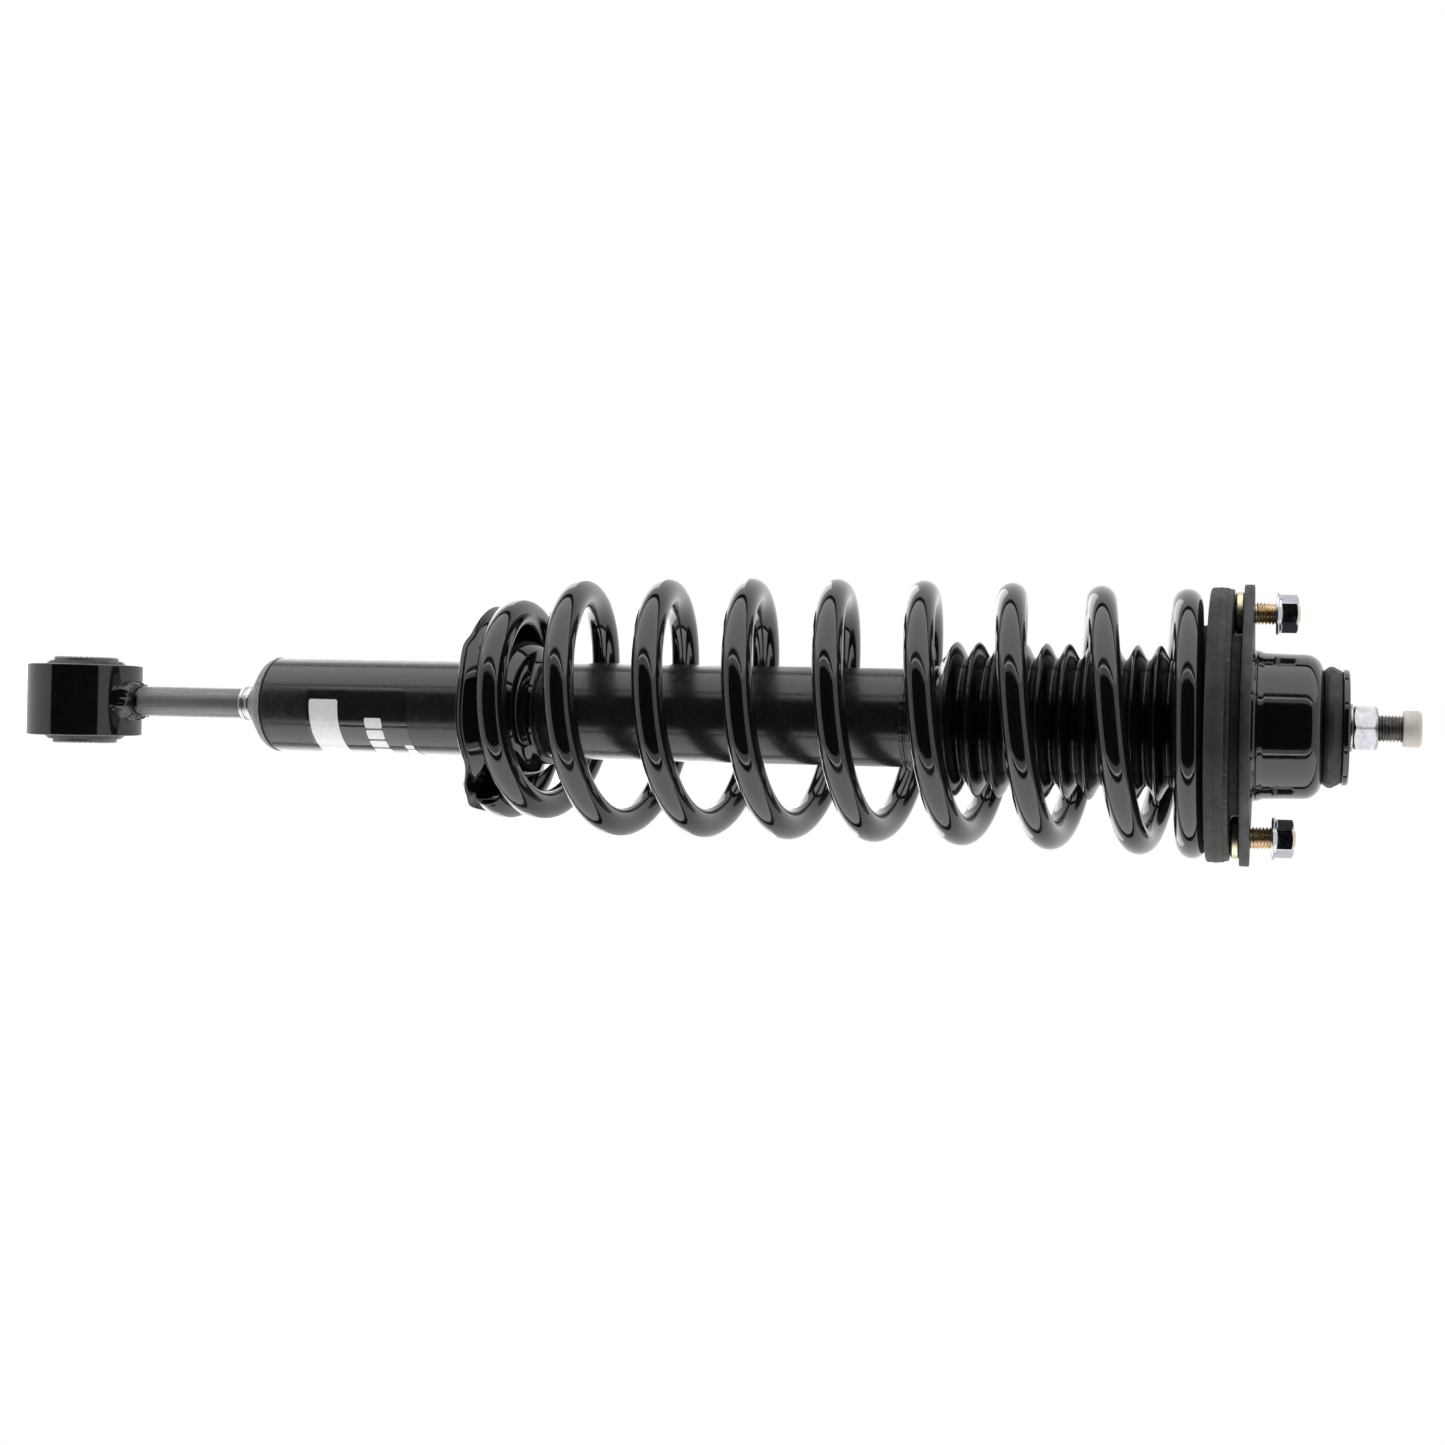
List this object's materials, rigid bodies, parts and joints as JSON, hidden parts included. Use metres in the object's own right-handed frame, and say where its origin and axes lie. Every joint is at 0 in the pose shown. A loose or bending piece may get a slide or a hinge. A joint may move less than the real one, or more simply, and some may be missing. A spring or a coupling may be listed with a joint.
{
  "type": "strut assembly",
  "caption": "Coil-over damper strut with a rubber-bushed eye at the lower end, a bellows dust boot, and a cushioned stud mount at the top, at full extension.",
  "frame": {"origin": "on the strut's axis, in the top face of the mount plate, which meets the vehicle's tower", "axes": "+Z along the strut's axis towards the rod's threaded end, away from the lower eye; +X along the eye's bore and through the two mount studs"},
  "size_m": [0.1256, 0.1226, 0.6619],
  "materials": {
    "gloss_black_paint": "gloss black coat",
    "satin_black_paint": "satin-gloss black coat",
    "black_rubber": "matte black rubber",
    "grey_seat_rubber": "matte dark-grey rubber",
    "matte_grey_steel": "matte dark-grey coat",
    "grey_steel": "satin mid-grey steel",
    "bright_steel": "bare bright steel",
    "polished_rod": "hard chrome rod with a dark threaded end",
    "bright_zinc": "bright zinc plate",
    "yellow_zinc": "yellow passivated zinc plate",
    "sintered_iron": "dark sintered iron",
    "bearing_bronze": "bronze bearing lining",
    "ptfe_band": "filled PTFE band",
    "urethane_foam": "cellular urethane",
    "cap_plastic": "cream-beige plastic",
    "label_film": "glossy dark film with a plain white block"
  },
  "bodies": {
    "upper_mount": {"mount_plate": "matte_grey_steel", "cushion_cup": "gloss_black_paint", "upper_spring_seat": "matte_grey_steel", "upper_insulator": "grey_seat_rubber", "stud_1": "yellow_zinc", "stud_2": "yellow_zinc", "lower_washer": "bright_steel", "lower_cushion": "black_rubber", "spacer_collar": "bright_steel", "upper_cushion": "black_rubber", "retainer_washer": "gloss_black_paint", "top_nut_washer": "bright_zinc", "top_nut": "bright_zinc", "piston_rod": "polished_rod", "piston": "sintered_iron", "piston_ring": "ptfe_band", "compression_shims": "bright_steel", "rebound_shims": "bright_steel", "piston_nut": "bright_zinc", "rebound_stop": "urethane_foam", "bump_stop": "urethane_foam", "dust_boot": "black_rubber", "coil_spring": "gloss_black_paint"},
    "lower_unit": {"damper_tube": "satin_black_paint", "base_cap": "satin_black_paint", "extension_stem": "grey_steel", "stem_collar": "bright_steel", "eye_weld": "gloss_black_paint", "lower_eye": "gloss_black_paint", "eye_bush_rubber": "black_rubber", "pressure_tube": "grey_steel", "base_valve": "sintered_iron", "base_valve_disc": "bright_steel", "rod_guide": "sintered_iron", "guide_bushing": "bearing_bronze", "rod_seal": "black_rubber", "striker_cap": "satin_black_paint", "lower_spring_seat": "gloss_black_paint", "seat_weld": "gloss_black_paint", "tube_label": "label_film"},
    "eye_sleeve": {"eye_inner_sleeve": "grey_steel"},
    "nut_1": {"flange_nut_1": "bright_zinc"},
    "nut_2": {"flange_nut_2": "bright_zinc"},
    "end_cap": {"rod_end_cap": "cap_plastic"}
  },
  "joints": [
    {"name": "damper_slide", "type": "slide", "parent": "upper_mount", "child": "lower_unit", "axis": [0, 0, 1], "range_m": [0, 0.09], "stiffness_N_per_m": 34000, "springref_m": -0.03, "deforming": ["coil_spring", "dust_boot"]},
    {"name": "eye_bush_twist", "type": "hinge", "parent": "lower_unit", "child": "eye_sleeve", "pos_m": [0, 0, -0.5624], "axis": [1, 0, 0], "range_deg": [-18, 18], "stiffness_Nm_per_rad": 40},
    {"name": "flange_nut_1_run", "type": "slide", "parent": "upper_mount", "child": "nut_1", "axis": [0, 0, 1], "range_m": [-0.009, 0.0115]},
    {"name": "flange_nut_2_run", "type": "slide", "parent": "upper_mount", "child": "nut_2", "axis": [0, 0, 1], "range_m": [-0.009, 0.0115]},
    {"name": "rod_cap_pull", "type": "slide", "parent": "upper_mount", "child": "end_cap", "axis": [0, 0, 1], "range_m": [0, 0.012]}
  ]
}
